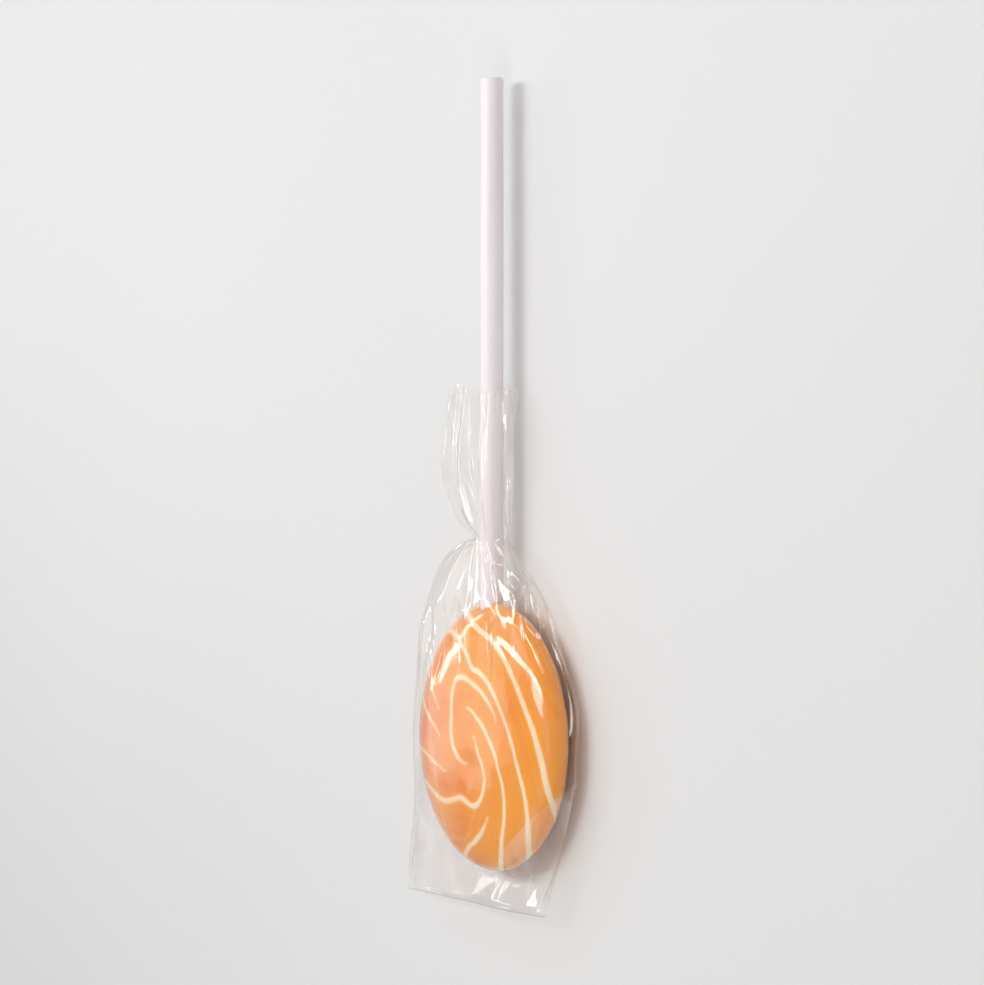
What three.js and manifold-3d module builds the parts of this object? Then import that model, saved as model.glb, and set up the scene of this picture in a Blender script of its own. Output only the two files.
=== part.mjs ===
// Swirl lollipop in its clear film wrapper, lying on its face.
// Millimetres, +Z up, stick along +Y. The origin is on the floor, under the middle of the head.

import * as THREE from 'three';
import { mergeVertices } from 'three/addons/utils/BufferGeometryUtils.js';
import Module from 'manifold-3d';

// ---------------------------------------------------------------- driving dimensions

const GAP = 0.3; // between pieces that touch
const FILM = 0.4; // wall that stands for the thin film

const HEAD_RADIUS = 25.5;
const HEAD_HALF = 5.0; // half the thickness of the head
const FLAT_SPOT = 0.05; // how much the underside is pressed flat where it rests
const HEAD_Z = HEAD_HALF + GAP + FILM - FLAT_SPOT; // height of the middle of the head

const STICK_RADIUS = 2.2;
const STICK_LENGTH = 127;
const STICK_DEPTH = 26; // length of stick inside the head

const RINGS = 12; // bands of faces from the middle of the face to the middle of the back
const SIDES = 48; // faces round the head

const STRIPE_WIDTH = 1.3;
const STRIPE_DEPTH = 0.9;
const STRIPE_STEP = 3.6; // length of one straight piece of a stripe on the face
const RIM_STEPS = 1.6; // how much shorter those pieces are over the rim
const RIM_BEND = 0.5; // how far from the rim that holds, in radians of latitude
const TAPER_STEPS = 2; // pieces over which an end of a stripe narrows
const END_WIDTH = 0.45; // width of its end, as a share of the full width
const RIM_LEAN = 15; // degrees that a stripe goes round while it crosses half the rim
const BACK_TWIST = 1.2; // degrees round for each degree of a plain logarithmic turn on the back

const CROWN_Y = -32.5; // closed end of the wrapper
const WING = 31.5; // half width of the wrapper beside the head
const CORNER = 33.0; // half width of the wrapper at its closed end
const FOLD_FROM = new THREE.Vector2(WING, -6); // one corner is turned up over the face, on
const FOLD_TO = new THREE.Vector2(18.6, CROWN_Y); // a fold that runs between these two places
const EDGE_INSET = 1; // how far the wrapper's hollow stays inside its flat edge
const CROWN_SEAL = 1.2; // width of the closed seam at the crown
const SHOULDER_Y = 14; // where the film leaves the face on its way to the neck
const NECK_Y = 37.5;
const NECK_RADIUS = STICK_RADIUS + 0.4 + FILM;
// How each side draws in from the wing to the neck: a low bend leaves the wing early, and a
// low blunt makes a full, round shoulder just under the neck.
const LEFT_SIDE = { bend: 1.3, blunt: 0.35 };
const RIGHT_SIDE = { bend: 2.1, blunt: 1.0 };
const TAIL_Y = 68; // open end of the wrapper
const TAIL_WIDE = 9.0;
const TAIL_HIGH = 4.2;
const TAIL_SHIFT = new THREE.Vector2(-2.5, 1.2);
const TAIL_LEAN = 2.1; // where the tail spreads soonest, in radians from +X towards +Z
const PLEATS = 7;
const PLEAT_HEIGHT = 1.0;
const PANELS = 42; // faces round the wrapper
const ROUNDING_LENGTH = 16; // length over which the flat film becomes round
const SAMPLE_RINGS = 14;
const TINY = 1e-6;

// Stripes on the face, from the rim inwards: [degrees clockwise from the stick, radius in mm].
// rim is where the stripe goes over the edge of the head. One without it stays on the face.
const FACE_STRIPES = [
  {
    rim: 118,
    wide: 1.15,
    knots: [[105, 23.9], [75, 20.2], [47, 18.9], [18, 19.8], [-1, 21.2], [-15, 24.4], [-22, 25.4]],
  },
  {
    rim: 148,
    wide: 1.0,
    knots: [
      [134, 23.9], [110, 18.5], [91, 15.2], [61, 12.6],
      [17, 12.9], [-4, 15.0], [-30, 23.4], [-34, 25.2],
    ],
  },
  {
    rim: 173,
    wide: 1.0,
    knots: [[153, 21.2], [122, 13.3], [107, 9.9], [84, 6.6], [36, 4.8], [-11, 5.8]],
  },
  { rim: 203, wide: 0.95, knots: [[191, 22.5], [179, 19.7], [158, 15.9]] },
  {
    rim: 252,
    wide: 1.05,
    knots: [
      [242, 20.9], [221, 16.7], [199, 12.3], [172, 12.9],
      [146, 9.8], [137, 6.6], [126, 3.5], [75, 1.4],
    ],
  },
  { rim: 268, wide: 0.9, knots: [[260, 20.0], [247, 14.6], [233, 11.3]] },
  { rim: 293, wide: 0.85, knots: [[286, 20.9], [277, 14.3], [269, 11.7]] },
  { rim: 316, wide: 0.85, knots: [[308, 22.4], [302, 19.2], [293, 13.2]] },
  {
    rim: null,
    wide: 1.05,
    knots: [
      [191, 5.0], [249, 6.3], [282, 7.3], [307, 9.0], [331, 12.0],
      [343, 12.1], [364, 10.5], [391, 9.8], [427, 10.3],
    ],
  },
];
// Stripes that only the back shows: where each starts, just under the rim.
const BACK_STARTS = [15, 50, 85];
const BACK_EDGE = 14; // latitude where they start, in degrees below the rim

// ---------------------------------------------------------------- colours

const CANDY = new THREE.MeshStandardMaterial({ color: 0xf9a23c, roughness: 0.18, metalness: 0 });
const SUGAR = new THREE.MeshStandardMaterial({ color: 0xffe6cc, roughness: 0.25, metalness: 0 });
const PAPER = new THREE.MeshStandardMaterial({ color: 0xf0e6ea, roughness: 0.55, metalness: 0 });
const CLEAR = new THREE.MeshStandardMaterial({
  color: 0xf5ece8,
  roughness: 0.1,
  metalness: 0,
  transparent: true,
  opacity: 0.25,
});

// ---------------------------------------------------------------- joining and cutting

const wasm = await Module();
wasm.setup();

function bare(geometry) {
  geometry.deleteAttribute('normal');
  geometry.deleteAttribute('uv');
  return mergeVertices(geometry);
}

function toSolid(geometry) {
  const closed = bare(geometry);
  return new wasm.Manifold(new wasm.Mesh({
    numProp: 3,
    vertProperties: new Float32Array(closed.attributes.position.array),
    triVerts: new Uint32Array(closed.index.array),
  }));
}

function toGeometry(solid) {
  const mesh = solid.getMesh();
  const geometry = new THREE.BufferGeometry();
  geometry.setAttribute('position', new THREE.BufferAttribute(mesh.vertProperties, 3));
  geometry.setIndex(new THREE.BufferAttribute(mesh.triVerts, 1));
  geometry.computeVertexNormals();
  return geometry;
}

function moveVertices(geometry, place) {
  const position = geometry.attributes.position;
  const point = new THREE.Vector3();
  for (let i = 0; i < position.count; i += 1) {
    point.fromBufferAttribute(position, i);
    const moved = place(point);
    position.setXYZ(i, moved.x, moved.y, moved.z);
  }
  return geometry;
}

const smooth = (t) => t * t * (3 - 2 * t);
const clamp01 = (t) => Math.min(1, Math.max(0, t));
const mix = (a, b, t) => a + (b - a) * t;

// ---------------------------------------------------------------- the head

// A poured and pressed disc is never quite round: factor on the radius at an angle.
function uneven(angle) {
  return 1 + 0.009 * Math.sin(2 * angle + 0.4) + 0.006 * Math.sin(3 * angle + 1.1);
}

// Point on the head. clock is clockwise from the stick, latitude is 0 at the rim
// and 90 degrees in the middle of the face. Both are in radians.
function headPoint(clock, latitude) {
  const radius = HEAD_RADIUS * Math.sqrt(Math.max(0, Math.cos(latitude))) * uneven(clock);
  return new THREE.Vector3(
    radius * Math.sin(clock),
    radius * Math.cos(clock),
    HEAD_Z + HEAD_HALF * Math.sin(latitude),
  );
}

function headNormal(clock, latitude) {
  const step = 0.002;
  const round = headPoint(clock + step, latitude).sub(headPoint(clock - step, latitude));
  const up = headPoint(clock, latitude + step).sub(headPoint(clock, latitude - step));
  return up.cross(round).normalize();
}

// A lathe of angles, whose height is the latitude, moved onto the head.
function headSolid() {
  const profile = [];
  for (let i = 0; i <= RINGS; i += 1) {
    profile.push(new THREE.Vector2(1, Math.PI / 2 - (Math.PI * i) / RINGS));
  }
  profile[0].x = 0;
  profile[RINGS].x = 0;
  const lathe = bare(new THREE.LatheGeometry(profile, SIDES));
  moveVertices(lathe, (p) => headPoint(Math.atan2(p.x, p.z), p.y));
  return toSolid(lathe);
}

// ---------------------------------------------------------------- the stripes

const DEGREE = Math.PI / 180;

function latitudeOf(radius) {
  const share = Math.min(1, radius / HEAD_RADIUS);
  return Math.acos(share * share);
}

// Route of a stripe over the back: it leans across the rim, then winds in as a
// logarithmic spiral. x is the clock angle, y the latitude, both in radians.
function backRoute(rim, startLatitude, endRadius) {
  const points = [];
  const steps = 6;
  const end = latitudeOf(endRadius);
  for (let i = 0; i <= steps; i += 1) {
    const depth = startLatitude + ((end - startLatitude) * i) / steps;
    const lean = RIM_LEAN * DEGREE * Math.sin(depth);
    const twist = -0.5 * BACK_TWIST * Math.log(Math.cos(depth));
    points.push(new THREE.Vector3(rim * DEGREE + lean + twist, -depth, 0));
  }
  return points;
}

function stripeRoutes() {
  const routes = [];
  FACE_STRIPES.forEach((stripe, i) => {
    const face = stripe.knots.map(
      ([clock, radius]) => new THREE.Vector3(clock * DEGREE, latitudeOf(radius), 0),
    );
    const endRadius = 6 + 3 * (i % 3);
    const back = stripe.rim === null ? [] : backRoute(stripe.rim, 0, endRadius).reverse();
    routes.push({ points: back.concat(face), wide: stripe.wide });
  });
  BACK_STARTS.forEach((rim, i) => {
    const endRadius = 7 + 2.5 * i;
    routes.push({ points: backRoute(rim, BACK_EDGE * DEGREE, endRadius).reverse(), wide: 0.9 });
  });
  return routes;
}

// Places along a route, close together where it bends over the rim.
function barPlaces(sheet) {
  const samples = 240;
  const costs = [0];
  let last = null;
  for (let i = 0; i <= samples; i += 1) {
    const here = sheet.getPoint(i / samples);
    const point = headPoint(here.x, here.y);
    if (last) {
      const rim = Math.exp(-((here.y / RIM_BEND) ** 2));
      costs.push(costs[i - 1] + point.distanceTo(last) * (1 + RIM_STEPS * rim));
    }
    last = point;
  }
  const steps = Math.max(4, Math.round(costs[samples] / STRIPE_STEP));
  const places = [];
  for (let step = 0; step <= steps; step += 1) {
    const wanted = (costs[samples] * step) / steps;
    const after = Math.max(1, costs.findIndex((cost) => cost >= wanted - 1e-9));
    const part = (wanted - costs[after - 1]) / (costs[after] - costs[after - 1]);
    places.push((after - 1 + clamp01(part)) / samples);
  }
  return places;
}

// A bar with a square section, bent along a route over the head. spare widens it on
// all sides, and rise lifts its top above the head.
function stripeBar(route, spare, rise) {
  const sheet = new THREE.CatmullRomCurve3(route.points, false, 'catmullrom', 0.5);
  const places = barPlaces(sheet);
  const steps = places.length - 1;
  const bar = bare(new THREE.BoxGeometry(steps, 1, 1, steps, 1, 1));
  return moveVertices(bar, (p) => {
    const step = Math.round(p.x + steps / 2);
    const share = places[step];
    const here = sheet.getPoint(share);
    const back = sheet.getPoint(Math.max(0, share - 0.01));
    const ahead = sheet.getPoint(Math.min(1, share + 0.01));
    const normal = headNormal(here.x, here.y);
    const along = headPoint(ahead.x, ahead.y).sub(headPoint(back.x, back.y)).normalize();
    const side = new THREE.Vector3().crossVectors(normal, along).normalize();
    const taper = clamp01(Math.min(step, steps - step) / TAPER_STEPS);
    const half = 0.5 * STRIPE_WIDTH * route.wide * mix(END_WIDTH, 1, taper) + spare;
    const height = p.z > 0 ? rise : -STRIPE_DEPTH - spare;
    const end = step === 0 ? -spare : step === steps ? spare : 0;
    return headPoint(here.x, here.y)
      .addScaledVector(side, 2 * p.y * half)
      .addScaledVector(normal, height)
      .addScaledVector(along, end);
  });
}

// ---------------------------------------------------------------- the wrapper

function headHeight(x, y, grown) {
  const clock = Math.atan2(x, y);
  const share = Math.hypot(x, y) / ((HEAD_RADIUS + grown) * uneven(clock));
  return (HEAD_HALF + grown) * Math.sqrt(Math.max(0, 1 - share ** 4));
}

// Places on the head that the tight film may hang from. The outermost are just inside the rim.
function headSamples(grown) {
  const samples = [];
  for (let ring = 1; ring <= SAMPLE_RINGS; ring += 1) {
    for (let j = 0; j < SIDES; j += 1) {
      const clock = (j / SIDES) * 2 * Math.PI;
      const radius = (ring / (SAMPLE_RINGS + 0.2)) * (HEAD_RADIUS + grown) * uneven(clock);
      const x = radius * Math.sin(clock);
      const y = radius * Math.cos(clock);
      samples.push({ x, y, height: headHeight(x, y, grown) });
    }
  }
  return samples;
}

// Half width of the wrapper lying flat, on the side that x is on. The fold leaves a slanting
// edge on the right.
function wrapperHalfWidth(x, y) {
  if (x > 0 && y < FOLD_FROM.y) {
    return mix(FOLD_FROM.x, FOLD_TO.x, (y - FOLD_FROM.y) / (FOLD_TO.y - FOLD_FROM.y));
  }
  if (y < 0) {
    return mix(WING, CORNER, clamp01(y / CROWN_Y) ** 3);
  }
  const side = x > 0 ? RIGHT_SIDE : LEFT_SIDE;
  const left = 1 - clamp01(y / NECK_Y) ** side.bend;
  return mix(NECK_RADIUS, WING, left ** side.blunt);
}

// Place along the stick of a point of the film. Between the wing and the neck the rows follow
// the shoulder on their outer ends, so that the film fans out of the neck.
function alongStick(across, row) {
  if (row <= 0 || row >= NECK_Y) {
    return row;
  }
  const side = across > 0 ? RIGHT_SIDE : LEFT_SIDE;
  const share = row / NECK_Y;
  const outer = Math.sin((Math.PI / 2) * share) ** (2 / side.bend);
  return NECK_Y * mix(share, outer, across ** 2);
}

// Height of tight film above the middle plane: the film is a straight line from
// the head to the flat edge, from whichever place on the head lifts it most.
function tightHeight(x, y, skin) {
  let best = Math.max(skin.edge, headHeight(x, y, skin.grown));
  const width = wrapperHalfWidth(x, y + skin.wall) - skin.inset;
  for (const from of skin.samples) {
    const dx = x - from.x;
    const dy = y - from.y;
    const sideways = dx > 0 ? (width - from.x) / dx : (-width - from.x) / Math.min(dx, -TINY);
    const endY = dy < 0 ? CROWN_Y + skin.crown : NECK_Y;
    const lengthways = dy < 0 ? (endY - from.y) / dy : (endY - from.y) / Math.max(dy, TINY);
    const reach = Math.min(sideways, lengthways);
    if (reach > 1) {
      best = Math.max(best, skin.edge + (from.height - skin.edge) * (1 - 1 / reach));
    }
  }
  return best;
}

// Ridge of the gathered film, 0 to 1, at an angle round the stick.
function pleat(angle) {
  return 0.5 + 0.5 * Math.cos(PLEATS * angle + 1.3 * Math.sin(2 * angle));
}

// How far the tail has opened, 0 at the neck and 1 at its end. It opens soonest to the left.
function opened(angle, flare) {
  const leftwards = 0.5 + 0.5 * Math.cos(angle - TAIL_LEAN);
  const start = smooth(clamp01(flare / 0.12));
  return (1 - (1 - flare) ** (1.6 + 3 * leftwards)) * start;
}

// One point of the film. angle goes round the stick and row along it.
function filmPoint(angle, row, skin) {
  const across = Math.cos(angle);
  const up = Math.sin(angle);
  const y = alongStick(across, row);
  const drawn = clamp01((y - SHOULDER_Y) / (NECK_Y - SHOULDER_Y));
  const gathered = smooth(drawn);
  const fold = PLEAT_HEIGHT * gathered * pleat(angle);
  let x = 0;
  let z = 0;
  if (row <= NECK_Y) {
    const inset = mix(skin.inset, skin.wall, gathered);
    const width = wrapperHalfWidth(across, y + skin.wall) - inset;
    x = across * width;
    const cone = mix(HEAD_HALF + GAP + FILM, NECK_RADIUS, drawn);
    const round = (cone - skin.wall) * Math.abs(up);
    const flat = Math.abs(up) < TINY;
    const tight = flat ? 0 : tightHeight(x, y, skin) * (1 - gathered ** 3);
    const rounding = smooth(clamp01((y - SHOULDER_Y) / ROUNDING_LENGTH + 0.25));
    z = Math.sign(up) * mix(tight, Math.max(tight, round), rounding);
  } else {
    const flare = opened(angle, clamp01((y - NECK_Y) / (TAIL_Y - NECK_Y)));
    x = across * (mix(NECK_RADIUS, TAIL_WIDE, flare) - skin.wall) + TAIL_SHIFT.x * flare;
    z = up * (mix(NECK_RADIUS, TAIL_HIGH, flare) - skin.wall) + TAIL_SHIFT.y * flare;
  }
  x += fold * across;
  z += fold * up;
  return new THREE.Vector3(x, y, Math.max(skin.floor, HEAD_Z + z));
}

// Rows along the wrapper: [from, to, how many].
const ROWS = [
  [CROWN_Y, -24, 3],
  [-24, 0, 8],
  [0, NECK_Y, 12],
  [NECK_Y, NECK_Y + 8, 3],
  [NECK_Y + 8, TAIL_Y, 4],
];

function rowPlaces() {
  const places = [CROWN_Y];
  ROWS.forEach(([from, to, count]) => {
    for (let i = 1; i <= count; i += 1) {
      places.push(mix(from, to, i / count));
    }
  });
  return places;
}

// A closed tube of film points. The skin says which side of the film it is.
function filmSolid(skin) {
  const places = rowPlaces();
  const rows = places.length - 1;
  places[0] = CROWN_Y + skin.crown;
  places[rows] = TAIL_Y + skin.open;
  const tube = bare(new THREE.CylinderGeometry(1, 1, rows, PANELS, rows, false));
  moveVertices(tube, (p) => {
    const row = places[Math.round(p.y + rows / 2)];
    const middle = Math.hypot(p.x, p.z) < 0.5;
    if (middle) {
      const shift = row > NECK_Y ? 1 : 0;
      return new THREE.Vector3(TAIL_SHIFT.x * shift, row, HEAD_Z + TAIL_SHIFT.y * shift);
    }
    return filmPoint(Math.atan2(p.z, p.x), row, skin);
  });
  return toSolid(tube);
}

// The turned-up corner: a thin sheet on top of the film, from the fold to the tip, which is
// the wrapper's corner mirrored in the fold.
function turnedCornerSolid(skin) {
  const along = FOLD_TO.clone().sub(FOLD_FROM).normalize();
  const corner = new THREE.Vector2(CORNER, CROWN_Y);
  const foot = FOLD_FROM.clone().addScaledVector(along, corner.clone().sub(FOLD_FROM).dot(along));
  const tip = foot.multiplyScalar(2).sub(corner);
  const bluntness = 0.05;
  const sheet = bare(new THREE.BoxGeometry(1, 1, 1, 7, 6, 1));
  moveVertices(sheet, (p) => {
    const inwards = (p.x + 0.5) * (1 - bluntness);
    const place = FOLD_FROM.clone().lerp(FOLD_TO, 0.5 + p.y).lerp(tip, inwards);
    const lift = p.z > 0 ? FILM : -FILM / 2;
    return new THREE.Vector3(place.x, place.y, HEAD_Z + tightHeight(place.x, place.y, skin) + lift);
  });
  return toSolid(sheet);
}

function wrapperSolid() {
  const outside = {
    grown: GAP + FILM,
    wall: 0,
    inset: 0,
    edge: FILM,
    crown: 0,
    open: 0,
    floor: 0,
    samples: headSamples(GAP + FILM),
  };
  const inside = {
    grown: GAP,
    wall: FILM,
    inset: EDGE_INSET,
    edge: 0.06,
    crown: CROWN_SEAL,
    open: 1,
    floor: FILM - FLAT_SPOT,
    samples: headSamples(GAP),
  };
  return filmSolid(outside).subtract(filmSolid(inside)).add(turnedCornerSolid(outside));
}

// ---------------------------------------------------------------- the lollipop

const group = new THREE.Group();

function addPiece(name, geometry, material) {
  const mesh = new THREE.Mesh(geometry, material);
  mesh.name = name;
  group.add(mesh);
  return mesh;
}

function stickGeometry(radius, length, sides) {
  const geometry = new THREE.CylinderGeometry(radius, radius, length, sides, 1);
  geometry.translate(0, HEAD_RADIUS - STICK_DEPTH + length / 2, HEAD_Z);
  return geometry;
}

const routes = stripeRoutes();

let candy = headSolid();
candy = candy.subtract(toSolid(stickGeometry(STICK_RADIUS + GAP, STICK_LENGTH, 24).translate(0, -GAP, 0)));
routes.forEach((route) => {
  candy = candy.subtract(toSolid(stripeBar(route, GAP, 1.0)));
});
addPiece('candy', toGeometry(candy), CANDY);

routes.forEach((route, i) => {
  const name = `stripe_${String(i + 1).padStart(2, '0')}`;
  addPiece(name, stripeBar(route, 0, 0), SUGAR);
});

addPiece('stick', stickGeometry(STICK_RADIUS, STICK_LENGTH, 24), PAPER);
addPiece('wrapper', toGeometry(wrapperSolid()), CLEAR);

export default group;
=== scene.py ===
"""Looks of a swirl lollipop in its clear film wrapper, lying on its back on a pale floor."""

import math
from types import SimpleNamespace

import bmesh
import bpy
import numpy as np
from mathutils import Matrix, Vector
from mathutils.bvhtree import BVHTree
from mathutils.kdtree import KDTree


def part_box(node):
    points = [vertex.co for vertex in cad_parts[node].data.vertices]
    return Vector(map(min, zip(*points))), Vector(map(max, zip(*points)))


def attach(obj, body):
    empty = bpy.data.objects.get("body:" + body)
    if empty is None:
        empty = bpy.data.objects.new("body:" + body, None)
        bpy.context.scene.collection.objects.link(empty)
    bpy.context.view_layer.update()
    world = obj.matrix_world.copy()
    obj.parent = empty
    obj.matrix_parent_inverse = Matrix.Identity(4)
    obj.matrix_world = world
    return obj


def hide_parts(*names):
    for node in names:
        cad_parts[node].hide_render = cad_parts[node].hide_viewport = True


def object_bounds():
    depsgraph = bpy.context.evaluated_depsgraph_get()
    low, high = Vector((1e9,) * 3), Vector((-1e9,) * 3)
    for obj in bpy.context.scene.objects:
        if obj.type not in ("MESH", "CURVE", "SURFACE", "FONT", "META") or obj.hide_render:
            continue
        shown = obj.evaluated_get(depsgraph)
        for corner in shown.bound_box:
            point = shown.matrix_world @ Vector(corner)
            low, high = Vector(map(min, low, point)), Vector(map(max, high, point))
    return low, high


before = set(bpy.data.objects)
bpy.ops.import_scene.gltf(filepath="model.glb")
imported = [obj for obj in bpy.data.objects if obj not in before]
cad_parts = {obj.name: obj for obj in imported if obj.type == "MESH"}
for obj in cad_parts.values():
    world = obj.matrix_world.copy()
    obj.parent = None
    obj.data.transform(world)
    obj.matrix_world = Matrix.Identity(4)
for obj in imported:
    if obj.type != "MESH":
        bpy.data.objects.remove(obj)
cad_low, cad_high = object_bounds()

MM = 0.001
TURN = 2 * math.pi

# ---------------------------------------------------------------- head and stick, in metres
# The middle of the head is over the origin, the stick points along +Y, and the face looks up.

candy_low, candy_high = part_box("candy")
stick_low, stick_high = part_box("stick")
wrapper_low, wrapper_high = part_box("wrapper")

HEAD_RADIUS = 25.5 * MM
HEAD_HALF = (candy_high.z - candy_low.z) / 2
HEAD_Z = (candy_high.z + candy_low.z) / 2
HEAD_CUTS = 96  # cuts along each side of the ball that becomes the head
HEAD_WAVE = 0.06 * MM  # gentle waves of the pressed sugar
HEAD_WAVE_LENGTH = 9 * MM
INLAY = 0.05 * MM  # how far a stripe stands out of the sugar
INLAY_EDGE = 0.3 * MM  # how far in from its edge a stripe reaches that height
COLLAR = 0.3 * MM  # sugar that stands up round the stick
COLLAR_WIDTH = 4.5 * MM
COLLAR_FROM = 15 * MM  # the collar is only on this side of the head, along the stick

STICK_RADIUS = (stick_high.x - stick_low.x) / 2
STICK_LENGTH = stick_high.y - stick_low.y
STICK_SIDES = 72
STICK_CUTS = 60
STICK_ROUNDING = 0.35 * MM
STICK_SWELL = 0.006  # share by which the stick's thickness wanders
STICK_SWELL_LENGTH = 30 * MM

# ---------------------------------------------------------------- stripes

STRIPE_WIDTH = 1.3 * MM
STRIPE_HALF = 0.36  # half of a plain stripe's width, as a share of STRIPE_WIDTH
STRIPE_TAPER = 5.5 * MM  # length over which an end thins out
STRIPE_TIP = 0.3  # width of the very tip, as a share of the stripe's width
STRIPE_SWELL = 0.12  # share by which a stripe's width wanders
STRIPE_SWELL_LENGTH = 7 * MM  # the stripe's width wanders once in about six of these
RIM_LEAN = 15  # degrees that a stripe leans over while it crosses the rim
BACK_TWIST = 1.2  # how fast a stripe turns round the middle of the back

# Stripes on the face. Each has the place where it crosses the rim, its width as a share of
# STRIPE_WIDTH, and its knots from the rim inwards. Rim and knots are in degrees clockwise from
# the stick, and each knot's second number is its radius in mm. The last one reaches no rim.
FACE_STRIPES = [
    (118, 1.15, [(105, 23.9), (75, 20.2), (47, 18.9), (18, 19.8), (-1, 21.2), (-15, 24.4), (-22, 25.4)]),
    (
        148,
        1.0,
        [
            (134, 23.9),
            (110, 18.5),
            (91, 15.2),
            (61, 12.6),
            (17, 12.9),
            (-4, 15.0),
            (-30, 23.4),
            (-34, 25.2),
        ],
    ),
    (173, 1.0, [(153, 21.2), (122, 13.3), (107, 9.9), (84, 6.6), (36, 4.8), (-11, 5.8)]),
    (203, 0.95, [(191, 22.5), (179, 19.7), (158, 15.9)]),
    (
        252,
        1.05,
        [
            (242, 20.9),
            (221, 16.7),
            (199, 12.3),
            (172, 12.9),
            (146, 9.8),
            (137, 6.6),
            (126, 3.5),
            (75, 1.4),
        ],
    ),
    (268, 0.9, [(260, 20.0), (247, 14.6), (233, 11.3)]),
    (293, 0.85, [(286, 20.9), (277, 14.3), (269, 11.7)]),
    (316, 0.85, [(308, 22.4), (302, 19.2), (293, 13.2)]),
    (
        None,
        1.05,
        [
            (191, 5.0),
            (249, 6.3),
            (282, 7.3),
            (307, 9.0),
            (331, 12.0),
            (343, 12.1),
            (364, 10.5),
            (391, 9.8),
            (427, 10.3),
        ],
    ),
]
# Stripes that only the back shows: where each starts, in degrees clockwise from the stick.
BACK_STARTS = [15, 50, 85]
BACK_START_DEPTH = 14  # degrees of latitude under the rim at which they start
BACK_WIDTH = 0.9
STRIPES = [f"stripe_{i + 1:02d}" for i in range(len(FACE_STRIPES) + len(BACK_STARTS))]

# ---------------------------------------------------------------- film, in metres

CROWN_Y = wrapper_low.y
TAIL_Y = wrapper_high.y
WING = 31.5 * MM  # half the flat wrapper's width beside the head
CORNER = 32.9 * MM  # the same at the crown
SHOULDER_Y = 14 * MM  # where the film starts to gather
NECK_Y = 37.5 * MM
NECK_RADIUS = 2.75 * MM
# How each side draws in to the neck: a low bend leaves the wing early, and a low blunt makes
# a full, round shoulder just under the neck.
LEFT_BEND, LEFT_BLUNT = 1.3, 0.35
RIGHT_BEND, RIGHT_BLUNT = 2.1, 1.0

TAIL_WIDE = 8.6 * MM
TAIL_HIGH = 4.0 * MM
TAIL_SHIFT = (-2.5 * MM, 1.2 * MM)
TAIL_LEAN = 2.1  # where the tail spreads soonest, in radians from +X towards +Z
TAIL_HASTE = 1.6, 4.6  # how soon the tail spreads on its slowest and its quickest side
TAIL_START = 0.12  # share of the tail over which it lets go of the neck
TAIL_RUFFLES = 9

# The corner turned up over the face folds along a line between these two places.
FOLD_FROM = (WING, -6 * MM)
FOLD_TO = (18.6 * MM, CROWN_Y)
CORNER_CUTS = 70
CORNER_GAP, CORNER_CURL = 0.30 * MM, 0.7 * MM  # its height off the film, and of its tip besides

# One broad flat fold lies over the stick above the head: its left end, its ridge and its right
# end, in radians from +X towards +Z, and its height as a share of the wrapper's half width.
FOLD_LEFT, FOLD_RIDGE, FOLD_RIGHT = 1.70, 1.25, 1.12
FOLD_BORDER = 0.1
FOLD_RISE = 0.055

# Where each change of the film starts along the stick, and the length over which it comes.
FACE_END = (4 * MM, 20 * MM)  # the film leaves the face
PLEATING = (9 * MM, 18 * MM)  # the pleats rise
ROUNDING = (SHOULDER_Y - 4 * MM, 16 * MM)  # the bag becomes round
FOLDING = (22 * MM, 5 * MM)  # the broad flat fold rises
TWISTING = (26 * MM, 20 * MM)  # the pleats turn
TAIL_END = (TAIL_Y - 12 * MM, 12 * MM)  # the open end gets uneven
# The same across the face from left to right, and from the head's middle outwards.
VEIL_FADING = (-18 * MM, 30 * MM)  # the painted reflection veil on the facets fades
LOOSENING = (25 * MM, 5 * MM)  # the film beside the head hangs loose

CROWN_SEAL = 1.2 * MM  # width of the seam that closes the wrapper at the crown
FILM_CLEAR = 0.1 * MM  # film above the sugar where it touches
FILM_OVER = 0.3 * MM  # film above the sugar where it hangs free
FILM_EDGE = 0.12 * MM  # half the distance between the two layers beside the head
FILM_OFF_STICK = 0.15 * MM
EDGE_FADE = 5 * MM  # width over which the film comes down to its flat edge
FLOOR_CLEAR = 0.02 * MM
LOOSE_LIFT = 0.6  # how far the film beside the head counts as lifted, in mm
NECK_LIFT = 0.8  # how much more it counts as lifted at the neck, in mm
LEAST_MILK, HANGING_MILK = 0.1, 0.4  # milkiness of the clearest facets, and of those above the head

FILM_ROUND = 132 * MM  # length of film all the way round the bag
FILM_AROUND = 320  # cuts round the bag
FILM_ROWS = ((CROWN_Y, 0, 80), (0, NECK_Y, 110), (NECK_Y, TAIL_Y, 75))  # from, to, how many
WELD = 0.002 * MM

# The crumpled film's facets: their width, and how many times as long they are.
BROAD_FACET = (8.5 * MM, 2.4)
SMALL_FACET = (3.8 * MM, 2.0)
CORNER_FACET = (7 * MM, 1.5)
FACET_JITTER = 0.38  # how far a facet's corners wander, as a share of its size
CREASE_WIDTH = 0.45 * MM
CREASE_DRAW = 7.13  # spreads the heights of a crease's ends into its strength
CREASE_WEAK, CREASE_STRONG = 0.45, 0.95  # that strength where a crease starts to show, and its top

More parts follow.
